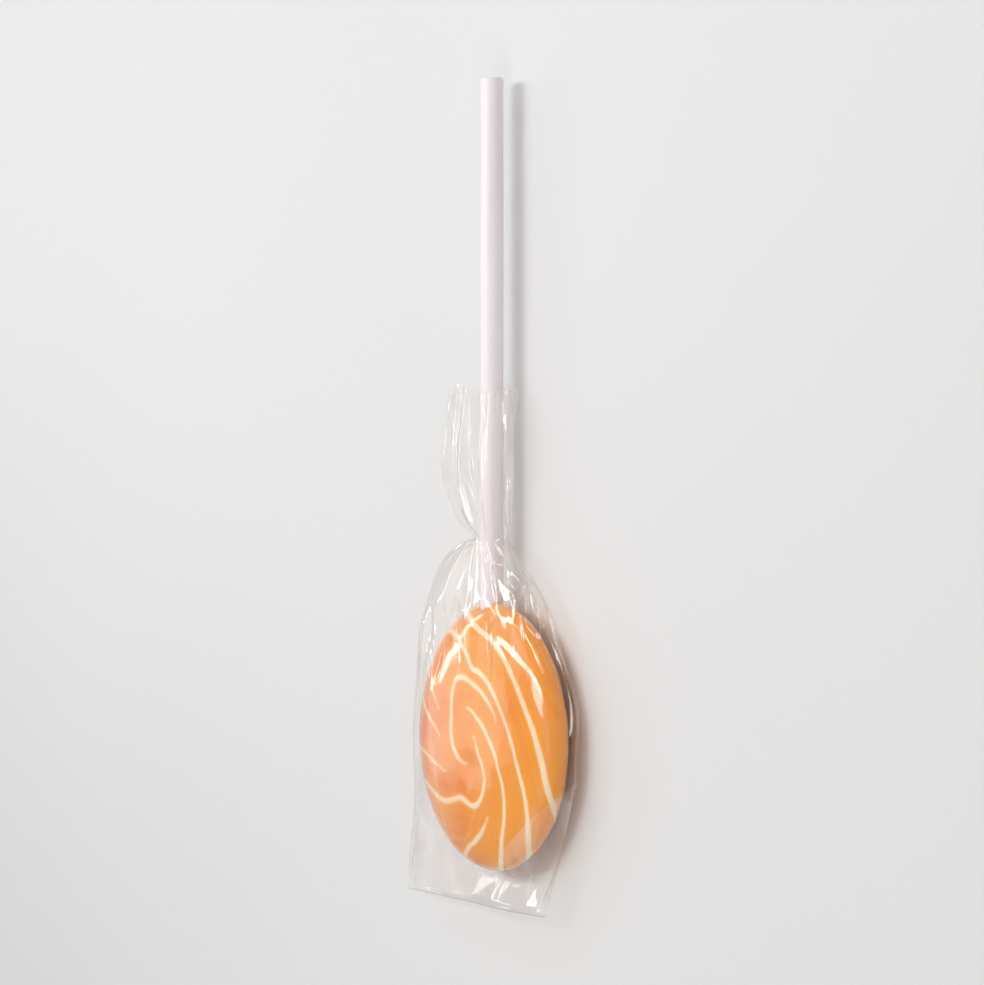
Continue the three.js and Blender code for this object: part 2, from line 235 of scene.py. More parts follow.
# Heights of the creases: on the face, and where the film hangs free above it.
FACE_BROAD, FACE_SMALL = 0.22 * MM, 0.04 * MM
FREE_BROAD, FREE_SMALL = 0.75 * MM, 0.30 * MM
TAIL_BROAD, TAIL_SMALL, TAIL_RUFFLE = 1.1 * MM, 0.35 * MM, 1.0 * MM
NECK_PLEAT, NECK_SMALL, NECK_LOOSE = 0.9 * MM, 0.15 * MM, 0.3 * MM
FLUTTER, FLUTTER_LENGTH = 0.7 * MM, 26 * MM  # waves of the loose film beside the head
PLEATS = 11
PLEAT_HEIGHT = 1.4 * MM
PLEAT_TWIST = 0.5  # radians that the pleats turn on their way to the neck
NECK_WANDER, NECK_REACH = 0.7 * MM, 5 * MM  # how far the neck wanders along the stick, and near it
TAIL_SLANT, TAIL_JAG = 0.9 * MM, 0.35 * MM  # how far the open end slants, and how jagged it is

# ---------------------------------------------------------------- colours

SUGAR_DEEP = (0.87, 0.255, 0.005, 1)
SUGAR_GOLD = (0.91, 0.33, 0.008, 1)
SUGAR_LIGHT = (0.93, 0.375, 0.018, 1)
SUGAR_DARK = (0.84, 0.185, 0.003, 1)
# Painted light: a lighter orange round each stripe, standing in for light spread from the white through
# the sugar.
STRIPE_PAINTED_GLOW = (1.0, 0.58, 0.20, 1)
STRIPE_CREAM = (1.0, 0.69, 0.42, 1)
STRIPE_WHITE = (1.0, 0.77, 0.53, 1)
STICK_SHADE = (0.82, 0.745, 0.77, 1)
STICK_WHITE = (0.89, 0.83, 0.85, 1)
STICK_FIBRE = (0.93, 0.88, 0.90, 1)
FILM_MIRROR = (1.0, 0.99, 0.98, 1)
FILM_MILK_WARM = (0.97, 0.89, 0.84, 1)
FILM_MILK_WHITE = (0.99, 0.95, 0.92, 1)
FILM_CLEAR_FACE_ON = (0.995, 0.99, 0.985, 1)
# Painted shade: the see-through colour darkens where the film is seen edge-on, for the grey lines that
# refraction draws.
FILM_SHADE_EDGE_ON = (0.72, 0.69, 0.68, 1)
FLOOR_GREY = (0.70, 0.695, 0.693, 1)
FLOOR_PALE = (0.725, 0.72, 0.718, 1)
STUDIO_WHITE = (1.0, 0.995, 0.99, 1)

# ---------------------------------------------------------------- light and camera

STUDIO_STRENGTH = 0.36
FLOOR_HALF = 3.0
MIDDLE = Vector((0, (cad_low[1] + cad_high[1]) / 2, HEAD_Z))
VIEW_TILT = math.radians(59)  # between the line of sight and straight down on the face
VIEW_DISTANCE = 0.62
FRAME_WIDTH = 189 * MM  # what the picture's width shows at the head's distance
SENSOR_WIDTH = 36  # mm

# ---------------------------------------------------------------- small helpers


def clamp01(t):
    return np.clip(t, 0.0, 1.0)


def smooth(t):
    t = clamp01(t)
    return t * t * (3 - 2 * t)


def rise(value, start, length):
    """0 up to the start, then a soft step that reaches 1 after this length."""
    return smooth((value - start) / length)


def mix(a, b, t):
    return a + (b - a) * t


def waves(points, length, seed):
    """Soft random waves, about -1 to 1, with a typical wavelength."""
    count = 7
    draw = np.random.default_rng(seed)
    total = np.zeros(len(points))
    for _ in range(count):
        way = draw.normal(size=3)
        way /= np.linalg.norm(way)
        pitch = TURN / (length * draw.uniform(0.7, 1.6))
        total += np.sin(points @ way * pitch + draw.uniform(0, TURN))
    return total / math.sqrt(count)


def vertex_places(bm):
    return np.array([v.co[:] for v in bm.verts])


def move_vertices(bm, places):
    for vertex, place in zip(bm.verts, places):
        vertex.co = place


def turn_outwards(bm):
    """Makes all faces agree, with the highest one looking up."""
    bmesh.ops.recalc_face_normals(bm, faces=bm.faces[:])
    highest = max(bm.faces, key=lambda face: face.calc_center_median().z)
    if highest.normal.z < 0:
        bmesh.ops.reverse_faces(bm, faces=bm.faces[:])


def mark_vertices(bm, marks):
    """Writes each named list of values on the vertices, where a material reads it."""
    for mark, values in marks.items():
        layer = bm.verts.layers.float.new(mark)
        for vertex, value in zip(bm.verts, values):
            vertex[layer] = value


def finish_piece(name, bm, material, nodes):
    """Turns a bmesh into a shown piece that rides on the lollipop."""
    mesh = bpy.data.meshes.new(name)
    bm.to_mesh(mesh)
    bm.free()
    mesh.shade_smooth()
    mesh.materials.append(material)
    piece = bpy.data.objects.new(name, mesh)
    bpy.context.scene.collection.objects.link(piece)
    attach(piece, "root")
    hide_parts(*nodes)
    return piece


# ---------------------------------------------------------------- the head's form


def uneven(clock):
    """The head's radius as a share of a true circle's: it is a little out of round."""
    return 1 + 0.009 * np.sin(2 * clock + 0.4) + 0.006 * np.sin(3 * clock + 1.1)


def head_point(clock, latitude):
    """Place on the head. clock is clockwise from the stick, latitude is 0 at the rim."""
    radius = HEAD_RADIUS * np.sqrt(np.maximum(0, np.cos(latitude))) * uneven(clock)
    height = HEAD_Z + HEAD_HALF * np.sin(latitude)
    return np.stack([radius * np.sin(clock), radius * np.cos(clock), height], axis=-1)


def head_normal(clock, latitude):
    """Outward direction of the head's surface, from two short steps along it."""
    step = 0.002
    round_way = head_point(clock + step, latitude) - head_point(clock - step, latitude)
    up_way = head_point(clock, latitude + step) - head_point(clock, latitude - step)
    normal = np.cross(up_way, round_way)
    return normal / np.maximum(np.linalg.norm(normal, axis=1), 1e-12)[:, None]


def head_height(x, y, grown=0.0):
    """Height of the head's surface above its middle plane, and 0 outside its outline."""
    share = np.hypot(x, y) / ((HEAD_RADIUS + grown) * uneven(np.arctan2(x, y)))
    return (HEAD_HALF + grown) * np.sqrt(np.maximum(0, 1 - share**4))


def even_latitude(share):
    """Latitude that leaves this share of the face's area between it and the middle."""
    steps = 2000
    latitude = np.linspace(math.pi / 2, 0, steps)
    places = head_point(np.zeros_like(latitude), latitude)
    step = np.linalg.norm(np.diff(places, axis=0), axis=1)
    radius = (places[1:, 1] + places[:-1, 1]) / 2
    area = np.concatenate([[0], np.cumsum(radius * step)])
    return np.interp(share, area / area[-1], latitude)


# ---------------------------------------------------------------- the stripes' form


def latitude_of(radius_mm):
    """Latitude at which the face has this radius."""
    return math.acos(min(1, radius_mm * MM / HEAD_RADIUS) ** 2)


def back_route(rim, start, end_radius_mm):
    """Route over the back: a lean across the rim, then a logarithmic spiral."""
    knots = 7
    route = []
    for depth in np.linspace(start, latitude_of(end_radius_mm), knots):
        lean = math.radians(RIM_LEAN) * math.sin(depth)
        turn = lean - 0.5 * BACK_TWIST * math.log(math.cos(depth))
        route.append((math.radians(rim) + turn, -depth))
    return route


def stripe_routes():
    """The knots of every stripe, as clock and latitude, and its width."""
    routes = []
    for i, (rim, wide, knots) in enumerate(FACE_STRIPES):
        face = [(math.radians(clock), latitude_of(radius)) for clock, radius in knots]
        end_mm = 6 + 3 * (i % 3)
        back = back_route(rim, 0, end_mm)[::-1] if rim is not None else []
        routes.append((np.array(back + face), wide))
    for i, rim in enumerate(BACK_STARTS):
        end_mm = 7 + 2.5 * i
        back = back_route(rim, math.radians(BACK_START_DEPTH), end_mm)[::-1]
        routes.append((np.array(back), BACK_WIDTH))
    return routes


def through(knots, steps):
    """A smooth curve through the knots, with this many samples a span."""
    padded = np.vstack([2 * knots[0] - knots[1], knots, 2 * knots[-1] - knots[-2]])
    t = np.linspace(0, 1, steps, endpoint=False)[:, None]
    spans = []
    for a, b, c, d in zip(padded, padded[1:], padded[2:], padded[3:]):
        curve = 2 * b + (c - a) * t + (2 * a - 5 * b + 4 * c - d) * t**2
        spans.append((curve + (3 * b - a - 3 * c + d) * t**3) / 2)
    return np.vstack(spans + [knots[-1:]])


def stripe_samples():
    """Places along every stripe, and half its width there."""
    draw = np.random.default_rng(11)
    steps_a_span = 60
    places, halves = [], []
    for knots, wide in stripe_routes():
        curve = through(knots, steps_a_span)
        points = head_point(curve[:, 0], curve[:, 1])
        steps = np.linalg.norm(np.diff(points, axis=0), axis=1)
        length = np.concatenate([[0], np.cumsum(steps)])
        to_end = np.minimum(length, length[-1] - length)
        taper = mix(STRIPE_TIP, 1.0, smooth(to_end / STRIPE_TAPER))
        swell = 1 + STRIPE_SWELL * np.sin(length / STRIPE_SWELL_LENGTH + draw.uniform(0, TURN))
        places.append(points)
        halves.append(STRIPE_HALF * STRIPE_WIDTH * wide * taper * swell)
    return np.vstack(places), np.concatenate(halves)


def distance_to_stripes(points):
    """Distance from each point to the edge of the nearest stripe: below 0 inside it."""
    places, halves = stripe_samples()
    tree = KDTree(len(places))
    for i, place in enumerate(places):
        tree.insert(place, i)
    tree.balance()
    found = [tree.find(point) for point in points]
    return np.array([distance - halves[i] for _, i, distance in found])


# ---------------------------------------------------------------- node helpers


class Sheet:
    """A material or a node group being wired up."""

    def __init__(self, tree):
        self.tree = tree
        self.column = 0

    def node(self, kind, values=None, **settings):
        made = self.tree.nodes.new(kind)
        self.column += 1
        made.location = (180 * self.column, 0)
        for key, value in settings.items():
            setattr(made, key, value)
        for key, value in (values or {}).items():
            made.inputs[key].default_value = value
        return made

    def wire(self, out, into):
        self.tree.links.new(out, into)

    def math(self, operation, a, b=0.0):
        made = self.node("ShaderNodeMath", operation=operation)
        for socket, value in zip(made.inputs, (a, b)):
            if isinstance(value, (int, float)):
                socket.default_value = value
            else:
                self.wire(value, socket)
        return made.outputs[0]

    def ramp(self, value, low, high, to_low=0.0, to_high=1.0):
        """A soft step from to_low to to_high, while the value goes from low to high."""
        made = self.node(
            "ShaderNodeMapRange",
            {"From Min": low, "From Max": high, "To Min": to_low, "To Max": to_high},
            interpolation_type="SMOOTHSTEP",
        )
        self.wire(value, made.inputs["Value"])
        return made.outputs["Result"]

    def blend(self, factor, a, b):
        made = self.node("ShaderNodeMix", data_type="RGBA")
        for socket, value in ((made.inputs[6], a), (made.inputs[7], b)):
            if isinstance(value, tuple):
                socket.default_value = value
            else:
                self.wire(value, socket)
        self.wire(factor, made.inputs[0])
        return made.outputs[2]

    def attribute(self, name):
        return self.node("ShaderNodeAttribute", attribute_name=name).outputs["Fac"]

    def place(self):
        return self.node("ShaderNodeTexCoord").outputs["Object"]

    def bump(self, height, strength, distance):
        made = self.node("ShaderNodeBump", {"Strength": strength, "Distance": distance})
        self.wire(height, made.inputs["Height"])
        return made.outputs["Normal"]


def new_material(name):
    material = bpy.data.materials.new(name)
    material.use_nodes = True
    material.node_tree.nodes.clear()
    sheet = Sheet(material.node_tree)
    output = sheet.node("ShaderNodeOutputMaterial")
    return material, sheet, output


def make_mottle_group():
    """Cloudy unevenness at two scales, used by every material."""
    group = bpy.data.node_groups.new("mottle", "ShaderNodeTree")
    face = group.interface
    face.new_socket("Place", in_out="INPUT", socket_type="NodeSocketVector")
    face.new_socket("Broad", in_out="INPUT", socket_type="NodeSocketFloat")
    face.new_socket("Fine", in_out="INPUT", socket_type="NodeSocketFloat")
    face.new_socket("Cloud", in_out="OUTPUT", socket_type="NodeSocketFloat")
    face.new_socket("Grain", in_out="OUTPUT", socket_type="NodeSocketFloat")
    sheet = Sheet(group)
    inside = sheet.node("NodeGroupInput")
    outside = sheet.node("NodeGroupOutput")
    for scale, result, detail in (("Broad", "Cloud", 2.0), ("Fine", "Grain", 3.0)):
        noise = sheet.node("ShaderNodeTexNoise", {"Detail": detail, "Roughness": 0.5})
        sheet.wire(inside.outputs["Place"], noise.inputs["Vector"])
        sheet.wire(inside.outputs[scale], noise.inputs["Scale"])
        sheet.wire(noise.outputs["Fac"], outside.inputs[result])
    return group


MOTTLE = make_mottle_group()


def add_mottle(sheet, place, broad, fine):
    """Places the mottle group. broad and fine are the scales of its two noises."""
    made = sheet.node("ShaderNodeGroup", node_tree=MOTTLE)
    made.inputs["Broad"].default_value = broad
    made.inputs["Fine"].default_value = fine
    sheet.wire(place, made.inputs["Place"])
    return made.outputs["Cloud"], made.outputs["Grain"]


# ---------------------------------------------------------------- materials


def sugar_material():
    """Glossy boiled sugar: golden orange, with opaque white stripes fused into it, and a painted glow
    round them.
    """
    material, sheet, output = new_material("boiled_sugar")
    cloud, grain = add_mottle(sheet, sheet.place(), broad=55.0, fine=420.0)
    distance = sheet.attribute("stripe_distance")  # in mm, below 0 inside a stripe
    wobble = sheet.math("MULTIPLY", sheet.math("SUBTRACT", grain, 0.5), 0.4)
    edge = sheet.math("ADD", distance, wobble)
    inside = sheet.ramp(edge, 0.22, -0.20)
    cloudy = sheet.ramp(cloud, 0.2, 0.5, 0.8, 1.0)
    stripe = sheet.math("MULTIPLY", inside, cloudy)
    # Painted glow: the sugar is painted lighter near each stripe, for light that the white spreads
    # through it.
    painted_glow = sheet.ramp(edge, 0.8, 0.0, 0.0, 0.16)

    streak = sheet.node("ShaderNodeTexNoise", {"Scale": 1.1, "Detail": 2.0}, noise_dimensions="1D")
    sheet.wire(distance, streak.inputs["W"])
    pulled = sheet.ramp(streak.outputs["Fac"], 0.3, 0.7)
    orange = sheet.blend(pulled, SUGAR_DEEP, SUGAR_GOLD)
    orange = sheet.blend(sheet.ramp(cloud, 0.35, 0.7, 0.0, 0.55), orange, SUGAR_LIGHT)
    orange = sheet.blend(sheet.ramp(cloud, 0.5, 0.3, 0.0, 0.6), orange, SUGAR_DARK)
    orange = sheet.blend(painted_glow, orange, STRIPE_PAINTED_GLOW)
    white = sheet.blend(sheet.ramp(cloud, 0.3, 0.7), STRIPE_CREAM, STRIPE_WHITE)

    shader = sheet.node(
        "ShaderNodeBsdfPrincipled",
        {
            "IOR": 1.5,
            "Subsurface Weight": 0.35,
            "Subsurface Radius": (1.0, 0.42, 0.12),
            "Subsurface Scale": 1.6 * MM,
            "Coat Weight": 0.6,
            "Coat Roughness": 0.03,
        },
    )
    sheet.wire(sheet.blend(stripe, orange, white), shader.inputs["Base Color"])
    sheet.wire(sheet.ramp(grain, 0.2, 0.8, 0.07, 0.14), shader.inputs["Roughness"])
    dents = sheet.math("MULTIPLY", cloud, 0.7)
    height = sheet.math("ADD", dents, sheet.math("MULTIPLY", grain, 0.06))
    sheet.wire(sheet.bump(height, 0.13, 0.6 * MM), shader.inputs["Normal"])
    sheet.wire(shader.outputs["BSDF"], output.inputs["Surface"])
    return material


def stick_material():
    """Smooth white stick with a cool tint and faint lengthways fibres."""
    material, sheet, output = new_material("stick_white")
    stretch = sheet.node("ShaderNodeMapping", {"Scale": (1.0, 0.06, 1.0)})
    sheet.wire(sheet.place(), stretch.inputs["Vector"])
    cloud, grain = add_mottle(sheet, stretch.outputs["Vector"], broad=260.0, fine=2600.0)
    colour = sheet.blend(sheet.ramp(cloud, 0.3, 0.7), STICK_SHADE, STICK_WHITE)
    colour = sheet.blend(sheet.ramp(grain, 0.55, 0.8, 0.0, 0.4), colour, STICK_FIBRE)
    shader = sheet.node(
        "ShaderNodeBsdfPrincipled",
        {
            "IOR": 1.47,
            "Subsurface Weight": 0.2,
            "Subsurface Radius": (0.8, 0.7, 0.75),
            "Subsurface Scale": 0.8 * MM,
        },
    )
    sheet.wire(colour, shader.inputs["Base Color"])
    sheet.wire(sheet.ramp(grain, 0.2, 0.8, 0.32, 0.46), shader.inputs["Roughness"])
    sheet.wire(sheet.bump(grain, 0.18, 0.2 * MM), shader.inputs["Normal"])
    sheet.wire(shader.outputs["BSDF"], output.inputs["Surface"])
    return material


def film_haze(sheet):
    """How milky the film is: more where it lifts, on some facets, along its creases, and in a painted
    reflection veil on the left.
    """
    haze = None
    # Each mark, where its haze starts and where it is full, and how milky it is then.
    for mark, low, high, most in (
        ("lift", 0.03, 0.6, 0.012),
        ("lift", 0.6, 1.6, 0.05),
        # patch carries the facets' own milkiness and the painted reflection veil on the left
        ("patch", 0.2, 1.35, 0.17),
        ("line", 0.1, 0.9, 0.10),
        ("crease", 0.10, 0.6, 0.45),
    ):
        more = sheet.ramp(sheet.attribute(mark), low, high, 0.0, most)
        haze = more if haze is None else sheet.math("ADD", haze, more)
    return sheet.math("MINIMUM", haze, 0.5)


def film_material():
    """Clear crinkled film: sees through, mirrors the lights, goes milky where it lifts."""
    material, sheet, output = new_material("clear_film")
    cloud, grain = add_mottle(sheet, sheet.place(), broad=90.0, fine=900.0)
    height = sheet.math("ADD", cloud, sheet.math("MULTIPLY", grain, 0.08))
    normal = sheet.bump(height, 0.15, 0.4 * MM)
    facing = sheet.node("ShaderNodeLayerWeight", {"Blend": 0.5}).outputs["Facing"]
    shadow_ray = sheet.node("ShaderNodeLightPath").outputs["Is Shadow Ray"]
    unless_shadow = sheet.ramp(shadow_ray, 0.0, 1.0, 1.0, 0.3)

    clear = sheet.node("ShaderNodeBsdfTransparent")
    # Painted shade: the film lets less through edge-on, standing in for the grey lines of refraction at
    # its folds.
    edge_on_shade = sheet.ramp(facing, 0.6, 1.0)
    through_colour = sheet.blend(edge_on_shade, FILM_CLEAR_FACE_ON, FILM_SHADE_EDGE_ON)
    sheet.wire(through_colour, clear.inputs["Color"])

    milk = sheet.node("ShaderNodeBsdfPrincipled", {"Roughness": 0.45, "IOR": 1.45})
    milk_colour = sheet.blend(sheet.ramp(cloud, 0.3, 0.7), FILM_MILK_WARM, FILM_MILK_WHITE)
    sheet.wire(milk_colour, milk.inputs["Base Color"])

    gloss = sheet.node("ShaderNodeBsdfPrincipled", {"Base Color": FILM_MIRROR, "Metallic": 1.0})
    sheet.wire(sheet.ramp(grain, 0.3, 0.7, 0.05, 0.10), gloss.inputs["Roughness"])
    sheet.wire(normal, gloss.inputs["Normal"])

    slanting = sheet.math("POWER", facing, 5.0)
    mirror = sheet.math("MINIMUM", sheet.math("ADD", slanting, 0.06), 0.5)
    body = sheet.node("ShaderNodeMixShader")
    sheet.wire(sheet.math("MULTIPLY", film_haze(sheet), unless_shadow), body.inputs[0])
    sheet.wire(clear.outputs["BSDF"], body.inputs[1])
    sheet.wire(milk.outputs["BSDF"], body.inputs[2])
    whole = sheet.node("ShaderNodeMixShader")
    sheet.wire(sheet.math("MULTIPLY", mirror, unless_shadow), whole.inputs[0])
    sheet.wire(body.outputs[0], whole.inputs[1])
    sheet.wire(gloss.outputs["BSDF"], whole.inputs[2])
    sheet.wire(whole.outputs[0], output.inputs["Surface"])
    return material


def floor_material():
    """Plain pale studio floor."""
    material, sheet, output = new_material("pale_floor")
    cloud, grain = add_mottle(sheet, sheet.place(), broad=3.0, fine=240.0)
    colour = sheet.blend(sheet.ramp(cloud, 0.3, 0.7), FLOOR_GREY, FLOOR_PALE)
    shader = sheet.node("ShaderNodeBsdfPrincipled", {"Roughness": 0.6})
    sheet.wire(colour, shader.inputs["Base Color"])
    sheet.wire(sheet.bump(grain, 0.05, 0.4 * MM), shader.inputs["Normal"])
    sheet.wire(shader.outputs["BSDF"], output.inputs["Surface"])
    return material


# ---------------------------------------------------------------- the candy


def make_candy(material):
    """The head: a cut-up cube pressed into the disc's form, in even steps."""
    bm = bmesh.new()
    bmesh.ops.create_cube(bm, size=2.0)
    bmesh.ops.subdivide_edges(bm, edges=bm.edges[:], cuts=HEAD_CUTS, use_grid_fill=True)
    ball = np.tan(vertex_places(bm) * math.pi / 4)
    ball /= np.linalg.norm(ball, axis=1)[:, None]
    clock = np.arctan2(ball[:, 0], ball[:, 1])
    latitude = np.sign(ball[:, 2]) * even_latitude(1 - np.abs(ball[:, 2]))
    places = head_point(clock, latitude)
    distance = distance_to_stripes(places)
    inlay = INLAY * smooth(-distance / INLAY_EDGE)
    relief = HEAD_WAVE * waves(places, HEAD_WAVE_LENGTH, seed=3) + inlay
    places = places + head_normal(clock, latitude) * relief[:, None]
    beside = np.hypot(places[:, 0], places[:, 2] - HEAD_Z)
    collar = COLLAR * np.exp(-((beside / COLLAR_WIDTH) ** 2)) * (places[:, 1] > COLLAR_FROM)
    places[:, 1] += collar
    move_vertices(bm, places)
    bmesh.ops.recalc_face_normals(bm, faces=bm.faces[:])
    mark_vertices(bm, {"stripe_distance": distance / MM})
    finish_piece("candy_head", bm, material, ["candy"] + STRIPES)


# ---------------------------------------------------------------- the stick


def make_stick(material):
    """The stick: an extruded circle with rounded ends, a little uneven in thickness."""
    bm = bmesh.new()
    bmesh.ops.create_circle(bm, cap_ends=True, radius=STICK_RADIUS, segments=STICK_SIDES)
    swept = bmesh.ops.extrude_face_region(bm, geom=bm.faces[:])
    far = [v for v in swept["geom"] if isinstance(v, bmesh.types.BMVert)]
    bmesh.ops.translate(bm, verts=far, vec=(0, 0, STICK_LENGTH))
    rims = [e for e in bm.edges if abs(e.verts[0].co.z - e.verts[1].co.z) < WELD]
    bmesh.ops.bevel(
        bm, geom=rims, offset=STICK_ROUNDING, segments=4, profile=0.5, affect="EDGES", material=-1
    )
    sides = [e for e in bm.edges if abs(e.verts[0].co.z - e.verts[1].co.z) > STICK_LENGTH / 2]
    bmesh.ops.subdivide_edges(bm, edges=sides, cuts=STICK_CUTS, use_grid_fill=True)
    turn = Matrix.Rotation(math.radians(-90), 4, "X")
    bmesh.ops.transform(bm, matrix=turn, verts=bm.verts[:])
    places = vertex_places(bm) + (0, stick_low.y, HEAD_Z)
    swell = 1 + STICK_SWELL * waves(places, STICK_SWELL_LENGTH, seed=5)
    places[:, 0] *= swell
    places[:, 2] = HEAD_Z + (places[:, 2] - HEAD_Z) * swell
    move_vertices(bm, places)
    bmesh.ops.recalc_face_normals(bm, faces=bm.faces[:])
    finish_piece("stick_round", bm, material, ["stick"])


# ---------------------------------------------------------------- the film


def half_width(side, y):
    """Half width of the flat wrapper, on the right where side is above 0."""
    wing = mix(WING, CORNER, clamp01(y / CROWN_Y) ** 3)
    bend = np.where(side > 0, RIGHT_BEND, LEFT_BEND)
    blunt = np.where(side > 0, RIGHT_BLUNT, LEFT_BLUNT)
    left = 1 - clamp01(y / NECK_Y) ** bend
    plain = np.where(y < 0, wing, mix(NECK_RADIUS, WING, left**blunt))
    folded = mix(FOLD_FROM[0], FOLD_TO[0], (y - FOLD_FROM[1]) / (FOLD_TO[1] - FOLD_FROM[1]))
    return np.where((side > 0) & (y < FOLD_FROM[1]), folded, plain)


def along_stick(across, row):
    """Place along the stick. Under the neck the rows follow the round shoulder outside."""
    share = clamp01(row / NECK_Y)
    bend = np.where(across > 0, RIGHT_BEND, LEFT_BEND)
    outer = np.sin(math.pi / 2 * share) ** (2 / bend)
    fanned = NECK_Y * mix(share, outer, across**2)
    return np.where((row > 0) & (row < NECK_Y), fanned, row)


def tight_height(x, y, grown):
    """Height of film pulled tight from the head to the flat edge of the wrapper.

    Straight lines run from many places on the head to the wrapper's edge, and the film lies
    on the highest of them.
    """
    rings, last_ring, spokes, tiny = 14, 14.2, 48, 1e-7
    width = half_width(x, y)
    best = np.maximum(FILM_EDGE, head_height(x, y, grown))
    for ring in range(1, rings + 1):
        for clock in np.arange(0, TURN, TURN / spokes):
            radius = ring / last_ring * (HEAD_RADIUS + grown) * uneven(clock)
            from_x, from_y = radius * math.sin(clock), radius * math.cos(clock)
            lifted = float(head_height(from_x, from_y, grown))
            dx, dy = x - from_x, y - from_y
            dx = np.where(np.abs(dx) < tiny, tiny, dx)
            dy = np.where(np.abs(dy) < tiny, tiny, dy)
            sideways = np.where(dx > 0, width - from_x, -width - from_x) / dx
            lengthways = np.where(dy < 0, CROWN_Y - from_y, NECK_Y - from_y) / dy
            reach = np.maximum(np.minimum(sideways, lengthways), 1.0)
            best = np.maximum(best, FILM_EDGE + (lifted - FILM_EDGE) * (1 - 1 / reach))
    return best


def facet_net(cell, stretch, seed):
    """The corners and triangles of a crumpled net that repeats once round the wrapper."""
    draw = np.random.default_rng(seed)
    columns = round(FILM_ROUND / cell)
    row_step = cell * stretch
    low, high = CROWN_Y - 2 * row_step, TAIL_Y + 2 * row_step
    rows = round((high - low) / row_step)
    jitter = draw.uniform(-FACET_JITTER, FACET_JITTER, size=(columns, rows, 2))
    height = draw.uniform(-1, 1, size=(columns, rows))
    slant = draw.random((columns, rows)) < 0.5
    corners, faces = [], []
    for i in range(-2, columns + 3):
        for j in range(rows):
            shift = jitter[i % columns, j]
            u = (i + shift[0]) * FILM_ROUND / columns
            v = low + (j + shift[1]) * row_step
            corners.append((u, v, height[i % columns, j]))
    for i in range(-2, columns + 2):
        for j in range(rows - 1):
            a = (i + 2) * rows + j
            b, c, d = a + rows, a + rows + 1, a + 1
            if slant[i % columns, j]:
                faces += [(a, b, c), (a, c, d)]
            else:
                faces += [(a, b, d), (b, c, d)]
    return corners, faces


def crumple(around, along, facet_size, seed):
    """Flat facets with sharp creases that meet again round the wrapper.

    Gives each place a height from -1 to 1, a value of its own facet from 0 to 1, and how near
    it is to a strong crease, from 0 to 1.
    """
    corners, faces = facet_net(*facet_size, seed)
    net = BVHTree.FromPolygons(corners, faces)
    down = Vector((0, 0, -1))
    hits = [net.ray_cast(Vector((u, v, 2.0)), down) for u, v in zip(around, along)]
    facet = np.array([hit[2] if hit[0] else 0 for hit in hits])
    level = np.array([hit[0].z if hit[0] else 0.0 for hit in hits])
    triangle = np.array(corners)[np.array(faces)[facet]]
    spot = np.stack([around, along], axis=-1)
    line = np.zeros(len(level))
    for k in range(3):
        start, end = triangle[:, k], triangle[:, (k + 1) % 3]
        way = end[:, :2] - start[:, :2]
        from_start = spot - start[:, :2]
        aside = way[:, 0] * from_start[:, 1] - way[:, 1] * from_start[:, 0]
        away = np.abs(aside) / np.linalg.norm(way, axis=1)
        strength = (start[:, 2] + end[:, 2]) * CREASE_DRAW % 1
        shown = rise(strength, CREASE_WEAK, CREASE_STRONG - CREASE_WEAK)
        line = np.maximum(line, shown * clamp01(1 - away / CREASE_WIDTH))
    patch = triangle[:, :, 2].sum(axis=1) * CREASE_DRAW % 1
    return level, patch, line


def pleats(angle, count, seed):
    """Sharp ridges round the stick, 0 to 1, at uneven distances."""
    draw = np.random.default_rng(seed)
    total = np.zeros_like(angle)
    for i in range(count):
        middle = (i + draw.uniform(-0.3, 0.3)) * TURN / count
        reach = TURN / count * draw.uniform(0.5, 0.8)
        away = np.abs((angle - middle + math.pi) % TURN - math.pi)
        ridge = np.maximum(0, 1 - away / reach) ** 1.4
        total = np.maximum(total, ridge * draw.uniform(0.5, 1.0))
    return total


def broad_fold(angle):
    """The broad flat fold over the stick, 0 to 1, and how calm the film is round it."""
    climb = clamp01((FOLD_LEFT - angle) / (FOLD_LEFT - FOLD_RIDGE))
    fall = clamp01((angle - FOLD_RIGHT) / (FOLD_RIDGE - FOLD_RIGHT))
    left = 1 - rise(angle, FOLD_LEFT, FOLD_BORDER)
    right = rise(angle, FOLD_RIGHT - FOLD_BORDER, FOLD_BORDER)
    return np.minimum(climb, fall), left * right


def flutter(x, y):
    """Soft waves of the loose film beside the head, across both its layers."""
    places = np.stack([x, y, np.zeros_like(x)], axis=-1)
    return FLUTTER * waves(places, FLUTTER_LENGTH, seed=24)


def film_creases(share, row, y):
    """What creases the film at each place: facets, pleats and the broad flat fold."""
    around, angle = share * FILM_ROUND, share * TURN
    broad, patch, line = crumple(around, row, BROAD_FACET, seed=21)
    small, _, small_line = crumple(around, row, SMALL_FACET, seed=22)
    flat_fold, calm = broad_fold(angle)
    over_stick = rise(y, *FOLDING)
    busy = 1 - calm * over_stick
    twisted = angle + PLEAT_TWIST * rise(y, *TWISTING)
    return SimpleNamespace(
        broad=broad,
        small=small * busy,
        pleat=pleats(twisted, PLEATS, seed=23) * busy,
        flat_fold=flat_fold * over_stick,
        busy=busy,
        patch=patch,
        line=line,
        small_line=small_line,
    )


def face_share(y):
    """1 where the film lies on the face, 0 where it hangs free above the head."""
    return 1 - rise(y, *FACE_END)


